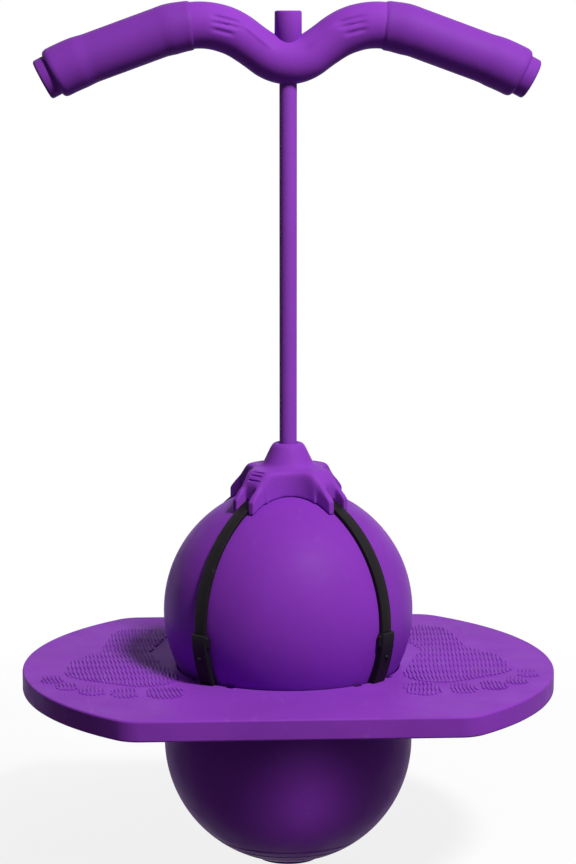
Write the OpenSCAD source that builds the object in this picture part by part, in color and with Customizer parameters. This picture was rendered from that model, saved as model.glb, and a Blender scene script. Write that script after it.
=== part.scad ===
// Hopper ball: a two-lobed bouncing ball in a standing deck, with an elastic rope and a gull-wing handle.
// Millimetres, +Z up, front at -Y, origin on the floor under the ball.

/* [Ball] */
// Diameter of each inflated lobe
lobe_d = 191; // [160:1:220]
// Height between the two lobe centres
lobe_spacing = 102; // [90:1:120]
// Thickness of the ball skin
ball_wall = 4; // [3:0.5:6]
// How far the neck is filled out past the crease between the lobes
neck_fill = 2; // [0.5:0.5:3]
// Diameter of the flat foot
foot_d = 48; // [30:1:60]
// Depth that the foot trims off the lower lobe
foot_trim = 1; // [0.5:0.1:3]
// Diameter of the largest tread ring under the ball
tread_ring_d = 120; // [90:1:140]
// Number of tread rings
tread_rings = 3; // [1:1:4]
// Pitch of the tread rings
tread_pitch = 8; // [6:0.5:12]
// Diameter of the round groove of a tread ring
tread_groove_d = 2.4; // [1:0.1:4]

/* [Valve] */
// Bore of the inflation valve
valve_bore_d = 8; // [5:0.5:10]
// Diameter of the boss behind the valve
valve_boss_d = 24; // [20:0.5:30]
// Length of the boss inside the ball
valve_boss_l = 9; // [6:0.5:14]
// Diameter of the plug's head
plug_head_d = 14; // [12:0.5:16]
// Thickness of the plug's head
plug_head_t = 1.8; // [1:0.1:3]
// Angle of the valve below the lower lobe's equator
valve_drop = 30; // [20:1:45]

/* [Deck] */
// Width of the deck, from side to side
deck_w = 408; // [340:1:480]
// Depth of the deck, from front to back
deck_d = 337; // [300:1:380]
// Thickness of the deck
deck_t = 15.5; // [12:0.5:22]
// Length of the straight front and back edges
deck_edge_l = 248; // [200:1:280]
// Thickness of the standing surface
deck_skin = 3.2; // [2:0.1:4]
// Thickness of the skirt round the edge
skirt_t = 3; // [2:0.1:5]
// Radial thickness of the collar round the hole
collar_t = 12; // [10:0.5:18]
// Number of ribs under the deck
rib_count = 12; // [8:4:24]
// Thickness of a rib
rib_t = 2.4; // [1.5:0.1:4]
// Radius of the ring rib
ring_rib_r = 132; // [115:1:150]
// Width of the notches beside each hook
notch_w = 7; // [4:0.5:10]
// Depth of the notches beside each hook
notch_l = 4; // [2:0.5:6]
// Angle from a hook to the notches beside it
notch_turn = 12; // [10:0.5:15]

/* [Footprints] */
// Length of a footprint
foot_len = 234; // [190:1:240]
// Distance of a footprint's middle from the deck's end
foot_x = 74; // [70:1:80]
// Distance of a footprint behind the middle
foot_y = 10; // [4:1:14]
// Height of the raised tread
tread_h = 1; // [0.6:0.1:2]

/* [Crown] */
// Height of the cone's top above the ball
crown_rise = 35; // [28:1:45]
// Height of the hub above the ball
hub_rise = 16; // [12:0.5:20]
// Diameter of the cone's foot
cone_base_d = 40; // [34:1:48]
// Diameter of the cone's top
cone_top_d = 25; // [20:1:30]
// Height of the cone's bevelled lip
cone_lip_h = 2; // [1:0.5:4]
// Radius from the middle to the scalloped wall between the legs
scallop_wall_r = 27.5; // [24:0.5:32]
// Radius of the scallops between the legs
scallop_r = 26; // [24:0.5:28]
// Width of a leg
leg_w = 21; // [19:0.5:24]
// Radius to a leg's tip
leg_reach = 52; // [48:1:60]
// Radius where a leg starts to slope down
leg_bend_r = 34; // [28:1:36]
// Height of a leg's tip above the ball
leg_tip_t = 10.5; // [7:0.5:14]
// Radius where a leg forks round its strap
fork_r = 42; // [40:0.5:46]
// Number of grip ribs on a leg
grip_ribs = 3; // [0:1:3]
// Diameter of a grip rib
grip_rib_d = 1.4; // [1:0.1:2]
// Pitch of the grip ribs
grip_rib_pitch = 2.6; // [2.4:0.1:3]

/* [Straps and hooks] */
// Width of a strap
strap_w = 10.5; // [8:0.5:13]
// Thickness of a strap
strap_t = 3; // [2:0.1:4]
// Diameter of the bar on a strap's upper end
strap_bar_d = 6; // [4:0.5:7]
// Length of the bar on a strap's upper end
strap_bar_l = 16; // [14:0.5:17]
// Angle from the ball's top to the bar
strap_bar_angle = 21; // [20:0.5:23]
// Angle from the ball's top to a hook's upper end
hook_top_angle = 92; // [86:1:96]
// Angle from the ball's top to the strap's lower end
strap_end_angle = 109; // [106:1:111]
// Thickness of a hook over its strap
hook_cover_t = 2; // [1.5:0.1:3]
// Thickness of a hook's side walls
hook_wall = 1.2; // [1:0.1:3]
// Width of the leg that goes through the deck
hook_leg_w = 11; // [8:0.5:12]
// Thickness of the leg that goes through the deck
hook_leg_t = 3.6; // [2.5:0.1:5]
// How far a hook's foot reaches out under the deck
hook_foot_l = 10; // [6:0.5:11]
// Thickness of a hook's foot
hook_foot_t = 3; // [2:0.1:5]
// How far the ears at a hook's upper end stand out
hook_ear_w = 1.6; // [0.8:0.1:3]
// Angle round the ball that the ears take up
hook_ear_angle = 5; // [3:0.5:7]
// Diameter of a rivet
rivet_d = 2.4; // [2:0.1:4]
// Diameter of a rivet's head
rivet_head_d = 3.8; // [3:0.1:6]
// Thickness of a rivet's head
rivet_head_t = 1; // [0.6:0.1:1.5]
// Angle from the ball's top to the rivet
rivet_angle = 103; // [100:0.5:105]

/* [Rope] */
// Diameter of the elastic rope
rope_d = 13.2; // [10:0.1:14]
// Length of the rope between the crown and the handle
rope_free_l = 270; // [220:1:360]
// Height of the first bend above the crown
first_bend_l = 18; // [12:1:30]
// Length between the two bends
bend_pitch = 36; // [24:1:50]
// Depth of the cup's rim under a bend
cup_drop = 4.4; // [4.2:0.1:5]
// Diameter of the ferrule on the lower end
ferrule_d = 22; // [18:0.5:24]
// Length of the ferrule on the lower end
ferrule_l = 6; // [4:0.5:7]
// Diameter of the washer over the ferrule
rope_washer_d = 26; // [24:0.5:30]
// Thickness of the washers on the rope
washer_t = 1.6; // [1:0.1:2]

/* [Cap] */
// Diameter of the rope's top cap
cap_d = 20.5; // [18:0.5:22]
// Height of the cap
cap_h = 25; // [20:0.5:30]
// Thickness of the cap's wall
cap_wall = 1.7; // [1.2:0.1:2]
// Thickness of the cap's crown
cap_top_t = 4; // [3:0.5:6]
// Length of the crimp ring in the cap
crimp_l = 10; // [6:0.5:12]
// Depth of the seat that the cap stands in
cap_seat_l = 6; // [4:0.5:9]

/* [Handle] */
// Diameter of the handlebar
bar_d = 33; // [30:0.5:36]
// Wall of the handlebar under the grips
bar_wall = 3.5; // [2.5:0.1:5]
// Steepness of the sides of the dip
dip_angle = 35; // [30:1:40]
// Bend radius of the centre line at the dip
dip_bend_r = 31.5; // [26:0.5:40]
// Straight length of each side of the dip
dip_side_l = 18.8; // [12:0.1:26]
// Bend radius of the centre line at the shoulders
shoulder_bend_r = 56.5; // [46:0.5:70]
// Slope of the grips
grip_angle = 20; // [14:1:26]
// Turn of the bar from the shoulder's top to the grip's inner end
grip_start_angle = 6; // [2:1:10]
// Bend radius of the centre line at a grip's inner end
grip_bend_r = 110; // [90:5:130]
// Straight length of a grip
grip_l = 55; // [46:1:80]
// Bend radius of a grip's outer end
droop_r = 200; // [150:5:260]
// Turn of a grip's outer end
droop_angle = 8; // [4:1:10]
// Diameter of the grip sleeves
grip_d = 37.5; // [36.5:0.5:41]
// Turn of the bar that a sleeve's collar covers
collar_angle = 4; // [2:1:6]
// Height of a sleeve's collar above the sleeve
collar_h = 0.8; // [0.4:0.1:2]
// Diameter of the end plugs
plug_d = 30; // [26:0.5:32]
// Length of the end plugs outside the bar
plug_l = 9; // [6:0.5:14]
// Length of the end plugs inside the bar
plug_stem_l = 12; // [8:0.5:16]
// Bevel of the end plugs
plug_bevel = 2; // [0.5:0.5:3]

/* [Clearances] */
// Gap between pieces that move past one another
run_gap = 0.3; // [0.2:0.05:0.5]
// Gap between the ball and what lies on it
skin_gap = 0.4; // [0.3:0.05:0.8]
// Gap between pieces that are pressed or pushed together
seat_gap = 0.1; // [0.05:0.01:0.2]

/* [Hidden] */
$fn = 96;
overrun = 5;
// Length and swelling of the bead where two runs of a tube meet
joint_l = 2;
joint_swell = 0.2;
// Play past a strap's end in its hook, in degrees
strap_end_play = 0.5;
// Turn from a hook's upper end to its ears
ear_set_angle = 1;
purple = [0.50, 0.22, 0.66];
deep_purple = [0.42, 0.17, 0.58];
black = [0.08, 0.08, 0.09];
steel = [0.75, 0.76, 0.78];

// Heights of the ball and the deck
lobe_r = lobe_d / 2;
foot_r = foot_d / 2;
lower_z = lobe_r - foot_trim;
upper_z = lower_z + lobe_spacing;
ball_top = upper_z + lobe_r;
waist_z = (lower_z + upper_z) / 2;
waist_r = sqrt(lobe_r * lobe_r - pow(lobe_spacing / 2, 2)) + neck_fill;
deck_top = waist_z + deck_t / 2;
deck_bottom = waist_z - deck_t / 2;

// Hole in the deck: as wide as the ball where the deck's faces meet it
face_drop = upper_z - deck_top;
hole_r = sqrt(pow(lobe_r + skin_gap, 2) - face_drop * face_drop);
corners = [45, 135, 225, 315];

// Outline of the deck: straight front and back, and an arc round each end
end_h = (deck_w - deck_edge_l) / 2;
end_r = (end_h * end_h + pow(deck_d / 2, 2)) / (2 * end_h);
end_x = deck_w / 2 - end_r;

// Straps and hooks, measured from the upper lobe's centre
strap_in = lobe_r + skin_gap;
strap_out = strap_in + strap_t;
hook_out = strap_out + seat_gap + hook_cover_t;
hook_w = strap_w + 2 * (seat_gap + hook_wall);
hook_end_angle = 90 + asin((face_drop - seat_gap) / hook_out);
hook_leg_rise = 2 * hook_leg_t;

// Crown
hub_z = ball_top + hub_rise;
crown_top = ball_top + crown_rise;
leg_tip_z = upper_z + sqrt(lobe_r * lobe_r - leg_reach * leg_reach) + leg_tip_t;
crown_low = upper_z + sqrt(lobe_r * lobe_r - pow(leg_reach + leg_w / 2, 2));
scallop_x = scallop_wall_r + scallop_r;
web_r = sqrt(pow(scallop_x * cos(45), 2) + pow(leg_w / 2, 2));
leg_slope = (hub_z - leg_tip_z) / (leg_reach - leg_bend_r);

// Rope, from the ferrule under the crown to the cap over the handle
rope_r = rope_d / 2;
rope_bore_r = rope_r + run_gap;
pocket_z = ball_top + skin_gap + ferrule_l + washer_t + 2 * seat_gap;
pocket_r = rope_washer_d / 2 + seat_gap;
first_bend_z = crown_top + first_bend_l;
second_bend_z = first_bend_z + bend_pitch;
rope_split_z = crown_top + rope_free_l - rope_r;

// Handle centre line and the cap's seat in its dip
bar_r = bar_d / 2;
bar_bore_r = bar_r - bar_wall;
grip_r = grip_d / 2;
// A straight stem in the curved end of the bar
plug_stem_r = bar_bore_r - seat_gap - plug_stem_l * plug_stem_l / (2 * droop_r);
dip_z = crown_top + rope_free_l + bar_r;
cap_seat_z = dip_z + bar_r - cap_seat_l;
cap_washer_z = cap_seat_z + run_gap;
cap_z = cap_washer_z + washer_t;
cap_bore_r = cap_d / 2 - cap_wall;
rope_end_z = cap_z + cap_h - cap_top_t - seat_gap;

// A turn of 0 is a straight run: [bend radius, turn] or [length, 0]
dip_path = [[dip_bend_r, dip_angle]];
side_path = [[dip_side_l, 0], [shoulder_bend_r, -(dip_angle + grip_start_angle)]];
inner_path = concat(dip_path, side_path);
outer_path = [
    [grip_bend_r, grip_start_angle - grip_angle],
    [grip_l, 0],
    [droop_r, -droop_angle]
];
collar_path = [[grip_bend_r, -collar_angle]];

// Width of the plate between two circles of a footprint
plate_share = 0.94;
// Footprint circles: x, y and radius as shares of its length, x outwards and y backwards
sole_shares = [
    [-0.068, 0.393, 0.098],
    [-0.017, 0.128, 0.083],
    [-0.043, -0.043, 0.103],
    [-0.077, -0.222, 0.115],
    [0.064, -0.137, 0.111],
    [0.064, -0.026, 0.103],
    [-0.017, 0.128, 0.083]
];
toe_shares = [
    [-0.158, -0.416, 0.058],
    [-0.035, -0.414, 0.045],
    [0.066, -0.379, 0.044],
    [0.149, -0.319, 0.036],
    [0.200, -0.224, 0.036]
];
// Distance from a toe's middle to its two ends, to its radius
toe_stretch = 0.35;

// Direction of each strap round the upright axis, from +X
front_left = 225;
front_right = 315;
back_left = 135;
back_right = 45;

// Shared shapes

// A ring between two radii
module ring(r_out, r_in, h) {
    difference() {
        cylinder(r = r_out, h = h);
        translate([0, 0, -overrun]) cylinder(r = r_in, h = h + 2 * overrun);
    }
}

// A bar of width w bent round the upper lobe in the plane of one strap, between two angles from the top
module wrap(turn, from_angle, to_angle, r_in, r_out, w) {
    translate([0, 0, upper_z])
        rotate([90, 0, turn])
            rotate([0, 0, 90 - to_angle])
                rotate_extrude(angle = to_angle - from_angle)
                    translate([r_in, -w / 2]) square([r_out - r_in, w]);
}

// Stands children on the upper lobe at an angle from the top, their Z pointing outwards
module on_lobe(turn, angle) {
    translate([0, 0, upper_z]) rotate([0, angle, turn]) children();
}

// Two circles [x, y, radius] and a plate that joins them, a little narrower than they are
module taper(a, b) {
    run = norm([b[0] - a[0], b[1] - a[1]]);
    heading = atan2(b[1] - a[1], b[0] - a[0]);
    side = acos((a[2] - b[2]) / run);
    translate([a[0], a[1]]) circle(a[2]);
    translate([b[0], b[1]]) circle(b[2]);
    polygon([
        for (e = [[a, side], [b, side], [b, -side], [a, -side]])
            [
                e[0][0] + plate_share * e[0][2] * cos(heading + e[1]),
                e[0][1] + plate_share * e[0][2] * sin(heading + e[1])
            ]
    ]);
}

// A tube along a path in the XZ plane that starts at the origin towards +X
module path_tube(path, r, i = 0) {
    if (i < len(path)) {
        step = path[i];
        path_step(step, r);
        if (i < len(path) - 1) after_step(step) {
            bead(r);
            path_tube(path, r, i + 1);
        }
    }
}

// The low ring where two runs of a tube meet
module bead(r) {
    translate([-joint_l / 2, 0, 0]) rotate([0, 90, 0]) cylinder(r = r + joint_swell, h = joint_l);
}

module path_step(step, r) {
    turn = step[1];
    if (turn == 0) rotate([0, 90, 0]) cylinder(r = r, h = step[0]);
    if (turn > 0)
        translate([0, 0, step[0]])
            rotate([90, 0, 0]) rotate([0, 0, -90])
                rotate_extrude(angle = turn) translate([step[0], 0]) circle(r);
    if (turn < 0)
        translate([0, 0, -step[0]])
            rotate([90, 0, 0]) rotate([0, 0, 90 + turn])
                rotate_extrude(angle = -turn) translate([step[0], 0]) circle(r);
}

// Moves children to the end of one step of a path
module after_step(step) {
    turn = step[1];
    if (turn == 0) translate([step[0], 0, 0]) children();
    else
        translate([step[0] * sin(abs(turn)), 0, sign(turn) * step[0] * (1 - cos(turn))])
            rotate([0, -turn, 0]) children();
}

// Moves children to the end of a whole path
module after_path(path, i = 0) {
    if (i < len(path)) after_step(path[i]) after_path(path, i + 1) children();
    else children();
}

// Ball

// Fills the neck only as far as the lobes leave it open
module neck(r) {
    half = lobe_spacing / 2 - sqrt(lobe_r * lobe_r - waist_r * waist_r);
    translate([0, 0, waist_z - half]) cylinder(r = r, h = 2 * half);
}

module skin(r, neck_r) {
    for (z = [lower_z, upper_z]) translate([0, 0, z]) sphere(r);
    neck(neck_r);
}

// Moves children to the valve, their Z pointing out of the ball
module at_valve() {
    translate([0, 0, lower_z]) rotate([-(90 + valve_drop), 0, 0]) children();
}

module tread_grooves() {
    for (i = [0 : tread_rings - 1]) {
        r = tread_ring_d / 2 - i * tread_pitch;
        translate([0, 0, lower_z - sqrt(lobe_r * lobe_r - r * r)])
            rotate_extrude() translate([r, 0]) circle(d = tread_groove_d);
    }
}

// The plug's head lies in a recess, flush with the ball
plug_seat = lobe_r - plug_head_t - run_gap;

module ball() {
    color(purple) difference() {
        union() {
            difference() {
                union() {
                    skin(lobe_r, waist_r);
                    cylinder(r = foot_r, h = ball_wall);
                }
                skin(lobe_r - ball_wall, waist_r - ball_wall);
            }
            at_valve() translate([0, 0, lobe_r - ball_wall - valve_boss_l])
                cylinder(d = valve_boss_d, h = valve_boss_l + ball_wall / 2);
        }
        translate([-lobe_r, -lobe_r, -lobe_r]) cube([lobe_d, lobe_d, lobe_r]);
        tread_grooves();
        at_valve() {
            translate([0, 0, lobe_r / 2]) cylinder(d = valve_bore_d, h = lobe_r);
            translate([0, 0, plug_seat]) cylinder(d = plug_head_d + 2 * run_gap, h = lobe_r);
        }
    }
}

module valve_plug() {
    color(deep_purple) at_valve() {
        translate([0, 0, plug_seat + run_gap]) cylinder(d = plug_head_d, h = plug_head_t);
        translate([0, 0, lobe_r - ball_wall - valve_boss_l])
            cylinder(d = valve_bore_d - 2 * seat_gap, h = ball_wall + valve_boss_l - plug_head_t / 2);
    }
}

// Deck

// Outline of the deck, drawn in by inset
module deck_outline(inset) {
    for (x = [0, 1]) mirror([x, 0]) intersection() {
        translate([end_x, 0]) circle(end_r - inset);
        translate([-overrun, inset - deck_d / 2]) square([deck_w, deck_d - 2 * inset]);
    }
}

function foot_circle(s) = [s[0] * foot_len, s[1] * foot_len, s[2] * foot_len];

module footprint() {
    translate([deck_w / 2 - foot_x, foot_y]) {
        for (i = [0 : len(sole_shares) - 2])
            taper(foot_circle(sole_shares[i]), foot_circle(sole_shares[i + 1]));
        for (s = toe_shares) {
            c = foot_circle(s);
            reach = toe_stretch * c[2];
            taper([c[0], c[1] - reach, c[2]], [c[0], c[1] + reach, c[2]]);
        }
    }
}

module deck_ribs() {
    intersection() {
        deck_outline(skirt_t / 2);
        union() {
            for (i = [0 : rib_count - 1])
                rotate(i * 360 / rib_count)
                    translate([hole_r, -rib_t / 2]) square([deck_w, rib_t]);
            difference() {
                circle(ring_rib_r + rib_t / 2);
                circle(ring_rib_r - rib_t / 2);
            }
        }
    }
}

module deck() {
    color(purple) difference() {
        union() {
            translate([0, 0, deck_top - deck_skin]) linear_extrude(deck_skin) deck_outline(0);
            translate([0, 0, deck_bottom]) linear_extrude(deck_t) difference() {
                deck_outline(0);
                deck_outline(skirt_t);
            }
            translate([0, 0, deck_bottom]) cylinder(r = hole_r + collar_t, h = deck_t);
            translate([0, 0, deck_bottom + deck_skin / 2])
                linear_extrude(deck_t - deck_skin) deck_ribs();
            translate([0, 0, deck_top]) linear_extrude(tread_h)
                for (x = [0, 1]) mirror([x, 0]) footprint();
        }
        translate([0, 0, deck_bottom - overrun]) cylinder(r = hole_r, h = deck_t + 2 * overrun);
        for (turn = corners) rotate(turn) {
            slot_w = hook_leg_w + 2 * seat_gap;
            translate([0, -slot_w / 2, deck_bottom - overrun])
                cube([hole_r + hook_leg_t + seat_gap, slot_w, deck_t + 2 * overrun]);
            for (side = [-1, 1]) rotate(side * notch_turn)
                translate([0, -notch_w / 2, deck_bottom - overrun])
                    cube([hole_r + notch_l, notch_w, deck_t + 2 * overrun]);
        }
    }
}

// Crown

module crown_plan() {
    for (turn = [45, 135]) rotate(turn) square([2 * (leg_reach + overrun), leg_w], center = true);
    difference() {
        circle(web_r);
        for (turn = [0, 90, 180, 270]) rotate(turn) translate([scallop_x, 0]) circle(scallop_r);
    }
}

// Half section of the crown, turned round the upright axis
module crown_section() {
    polygon([
        [0, crown_low],
        [leg_reach, crown_low],
        [leg_reach, leg_tip_z],
        [leg_bend_r, hub_z],
        [0, hub_z]
    ]);
    for (i = [0 : 1 : grip_ribs - 1]) {
        r = leg_bend_r + grip_rib_d + i * grip_rib_pitch;
        translate([r, hub_z - (r - leg_bend_r) * leg_slope]) circle(d = grip_rib_d);
    }
}

module cone_section() {
    polygon([
        [0, hub_z - hub_rise / 2],
        [cone_base_d / 2, hub_z - hub_rise / 2],
        [cone_base_d / 2, hub_z + cone_lip_h / 2],
        [cone_top_d / 2, crown_top - cone_lip_h],
        [cone_top_d / 2 - cone_lip_h, crown_top],
        [0, crown_top]
    ]);
}

// The room that a strap and the bar on its end take up in the crown
module strap_way(turn) {
    bar_w = strap_bar_d + 2 * seat_gap;
    bar_l = strap_bar_l + 2 * seat_gap;
    fork_w = strap_w + 2 * run_gap;
    wrap(turn, strap_bar_angle, 90, lobe_r, strap_out + seat_gap, strap_w + 2 * seat_gap);
    on_lobe(turn, strap_bar_angle)
        translate([-bar_w / 2, -bar_l / 2, lobe_r - strap_bar_d])
            cube([bar_w, bar_l, skin_gap + 2 * strap_bar_d + seat_gap]);
    rotate(turn) translate([fork_r, -fork_w / 2, crown_low - overrun])
        cube([leg_reach, fork_w, crown_rise + lobe_r]);
}

module crown() {
    color(purple) difference() {
        union() {
            intersection() {
                translate([0, 0, crown_low]) linear_extrude(hub_z - crown_low + grip_rib_d) crown_plan();
                rotate_extrude() crown_section();
            }
            rotate_extrude() cone_section();
        }
        translate([0, 0, upper_z]) sphere(lobe_r + skin_gap);
        translate([0, 0, upper_z]) cylinder(r = pocket_r, h = pocket_z - upper_z);
        translate([0, 0, upper_z]) cylinder(r = rope_bore_r, h = crown_top - upper_z + overrun);
        for (turn = corners) strap_way(turn);
    }
}

// Straps and hooks

module strap(turn) {
    color(black) difference() {
        union() {
            wrap(turn, strap_bar_angle, strap_end_angle, strap_in, strap_out, strap_w);
            on_lobe(turn, strap_bar_angle)
                translate([0, strap_bar_l / 2, strap_in + strap_bar_d / 2])
                    rotate([90, 0, 0]) cylinder(d = strap_bar_d, h = strap_bar_l);
        }
        rivet_hole(turn);
    }
}

module rivet_hole(turn) {
    on_lobe(turn, rivet_angle) cylinder(r = rivet_d / 2 + seat_gap, h = hook_out + overrun);
}

// Side view of the leg that goes through the deck and the foot under it
module hook_leg_section() {
    low = deck_bottom - seat_gap - hook_foot_t;
    polygon([
        [0, low],
        [hook_foot_l, low],
        [hook_foot_l, low + hook_foot_t],
        [hook_leg_t, low + hook_foot_t],
        [hook_leg_t, deck_top + hook_leg_rise],
        [0, deck_top + hook_leg_rise]
    ]);
}

module hook(turn) {
    ear_from = hook_top_angle + ear_set_angle;
    color(black) difference() {
        union() {
            wrap(turn, hook_top_angle, hook_end_angle, strap_in, hook_out, hook_w);
            wrap(turn, ear_from, ear_from + hook_ear_angle, strap_in + skin_gap, strap_out,
                hook_w + 2 * hook_ear_w);
            rotate(turn) translate([hole_r, hook_leg_w / 2, 0]) rotate([90, 0, 0])
                linear_extrude(hook_leg_w) hook_leg_section();
        }
        for (z = [lower_z, upper_z]) translate([0, 0, z]) sphere(lobe_r + run_gap);
        wrap(turn, strap_bar_angle, strap_end_angle + strap_end_play, lobe_r, strap_out + seat_gap,
            strap_w + 2 * seat_gap);
        rivet_hole(turn);
    }
}

module strap_front_left() { strap(front_left); }
module strap_front_right() { strap(front_right); }
module strap_back_left() { strap(back_left); }
module strap_back_right() { strap(back_right); }

module hook_front_left() { hook(front_left); }
module hook_front_right() { hook(front_right); }
module hook_back_left() { hook(back_left); }
module hook_back_right() { hook(back_right); }

module strap_rivets() {
    color(steel) for (turn = corners) on_lobe(turn, rivet_angle) {
        translate([0, 0, strap_in + seat_gap]) cylinder(d = rivet_d, h = hook_out - strap_in);
        translate([0, 0, hook_out + seat_gap]) cylinder(d = rivet_head_d, h = rivet_head_t);
    }
}

// Rope

// A length of rope; a bend at its foot is a round end, a bend at its head is a cup for the next length
module rope_length(low_z, high_z, foot_bend, head_bend) {
    color(deep_purple) difference() {
        union() {
            translate([0, 0, low_z])
                cylinder(r = rope_r, h = high_z - low_z - (head_bend ? cup_drop : 0));
            if (foot_bend) translate([0, 0, low_z]) sphere(rope_r);
        }
        if (head_bend) translate([0, 0, high_z]) sphere(rope_r + run_gap);
    }
}

module rope_root() { rope_length(ball_top + skin_gap, first_bend_z, false, true); }
module rope_lower() { rope_length(first_bend_z, second_bend_z, true, true); }
module rope_middle() { rope_length(second_bend_z, rope_split_z, true, false); }
module rope_upper() { rope_length(rope_split_z, rope_end_z, false, false); }

module rope_ferrule() {
    color(steel) translate([0, 0, ball_top + skin_gap])
        ring(ferrule_d / 2, rope_r + seat_gap, ferrule_l);
}

module rope_washer() {
    color(steel) translate([0, 0, pocket_z - washer_t - seat_gap])
        ring(rope_washer_d / 2, rope_r + seat_gap, washer_t);
}

module rope_cap() {
    color(purple) translate([0, 0, cap_z]) difference() {
        union() {
            cylinder(d = cap_d, h = cap_h - cap_wall);
            translate([0, 0, cap_h - cap_wall])
                cylinder(d1 = cap_d, d2 = cap_d - 2 * cap_wall, h = cap_wall);
        }
        translate([0, 0, -overrun]) cylinder(r = cap_bore_r, h = cap_h - cap_top_t + overrun);
    }
}

module rope_crimp() {
    color(steel) translate([0, 0, cap_z + seat_gap])
        ring(cap_bore_r - seat_gap, rope_r + seat_gap, crimp_l);
}

module cap_washer() {
    color(steel) translate([0, 0, cap_washer_z]) ring(cap_d / 2, rope_r + seat_gap, washer_t);
}

// Handle

module both_ways() {
    for (x = [0, 1]) mirror([x, 0, 0]) children();
}

module at_dip() {
    translate([0, 0, dip_z]) children();
}

module dip_bend() {
    translate([0, 0, dip_bend_r])
        rotate([90, 0, 0]) rotate([0, 0, -90 - dip_angle])
            rotate_extrude(angle = 2 * dip_angle) translate([dip_bend_r, 0]) circle(bar_r);
}

module handlebar() {
    color(purple) difference() {
        at_dip() {
            dip_bend();
            both_ways() after_path(dip_path) {
                bead(bar_r);
                path_tube(concat(side_path, outer_path), bar_r);
            }
        }
        at_dip() both_ways() after_path(inner_path)
            path_tube(concat(outer_path, [[overrun, 0]]), bar_bore_r);
        translate([0, 0, rope_split_z]) cylinder(r = rope_bore_r, h = dip_z);
        translate([0, 0, cap_seat_z]) cylinder(r = cap_d / 2 + run_gap, h = cap_h);
    }
}

module grip() {
    color(deep_purple) at_dip() after_path(inner_path) difference() {
        union() {
            path_tube(outer_path, grip_r);
            path_tube(collar_path, grip_r + collar_h);
        }
        translate([-overrun, 0, 0])
            path_tube(concat([[overrun, 0]], outer_path, [[overrun, 0]]), bar_r + seat_gap);
    }
}

module end_plug_section() {
    polygon([
        [0, -plug_stem_l],
        [plug_stem_r, -plug_stem_l],
        [plug_stem_r, seat_gap],
        [plug_d / 2, seat_gap],
        [plug_d / 2, seat_gap + plug_l - plug_bevel],
        [plug_d / 2 - plug_bevel, seat_gap + plug_l],
        [0, seat_gap + plug_l]
    ]);
}

module end_plug() {
    color(deep_purple) at_dip() after_path(concat(inner_path, outer_path))
        rotate([0, 90, 0]) rotate_extrude() end_plug_section();
}

module left_grip() { mirror([1, 0, 0]) grip(); }
module right_grip() { grip(); }
module left_end_plug() { mirror([1, 0, 0]) end_plug(); }
module right_end_plug() { end_plug(); }

deck();
ball();
valve_plug();
crown();
strap_front_left();
strap_front_right();
strap_back_left();
strap_back_right();
hook_front_left();
hook_front_right();
hook_back_left();
hook_back_right();
strap_rivets();
rope_root();
rope_lower();
rope_middle();
rope_upper();
rope_ferrule();
rope_washer();
rope_cap();
rope_crimp();
cap_washer();
handlebar();
left_grip();
right_grip();
left_end_plug();
right_end_plug();
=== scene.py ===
import math

import bmesh
import bpy
from bpy.props import FloatProperty, FloatVectorProperty, IntProperty, PointerProperty
from mathutils import Matrix, Vector


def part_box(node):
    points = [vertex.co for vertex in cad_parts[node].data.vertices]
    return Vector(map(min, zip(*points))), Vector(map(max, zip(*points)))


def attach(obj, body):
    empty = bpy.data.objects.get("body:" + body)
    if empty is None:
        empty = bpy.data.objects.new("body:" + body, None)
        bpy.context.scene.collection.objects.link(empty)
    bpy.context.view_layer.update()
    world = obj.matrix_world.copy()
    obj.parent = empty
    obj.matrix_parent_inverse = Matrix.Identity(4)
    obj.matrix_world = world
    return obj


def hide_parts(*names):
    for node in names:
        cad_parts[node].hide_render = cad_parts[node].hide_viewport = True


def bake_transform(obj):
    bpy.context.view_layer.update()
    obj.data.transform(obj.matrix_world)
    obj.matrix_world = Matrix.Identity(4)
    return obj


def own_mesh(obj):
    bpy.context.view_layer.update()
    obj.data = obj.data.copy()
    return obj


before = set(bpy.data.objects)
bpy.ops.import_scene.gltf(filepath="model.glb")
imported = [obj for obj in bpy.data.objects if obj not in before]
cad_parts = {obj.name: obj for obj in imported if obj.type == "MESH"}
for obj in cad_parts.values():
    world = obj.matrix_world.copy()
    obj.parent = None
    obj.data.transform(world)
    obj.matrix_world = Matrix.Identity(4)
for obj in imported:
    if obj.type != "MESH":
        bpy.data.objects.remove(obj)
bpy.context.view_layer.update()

bl_info = {
    "name": "Hopper ball",
    "version": (1, 0, 0),
    "blender": (4, 5, 0),
    "location": "View3D > Sidebar > Hopper",
    "description": "Dresses a hopper ball with a standing deck, an elastic rope and a gull-wing handle",
    "category": "Mesh",
}

UP = Vector((0, 0, 1))
# Lengths under this many metres count as nothing
TINY = 1e-6
# Turn of each strap round the upright axis, in degrees
STRAP_TURNS = {"front_left": 225, "front_right": 315, "back_left": 135, "back_right": 45}


def length(name, description, default, low, high):
    return FloatProperty(
        name=name, description=description, default=default, min=low, max=high, unit="LENGTH", precision=4
    )


def colour(name, description, default):
    return FloatVectorProperty(
        name=name, description=description, default=default, subtype="COLOR", min=0, max=1, size=3
    )


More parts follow.
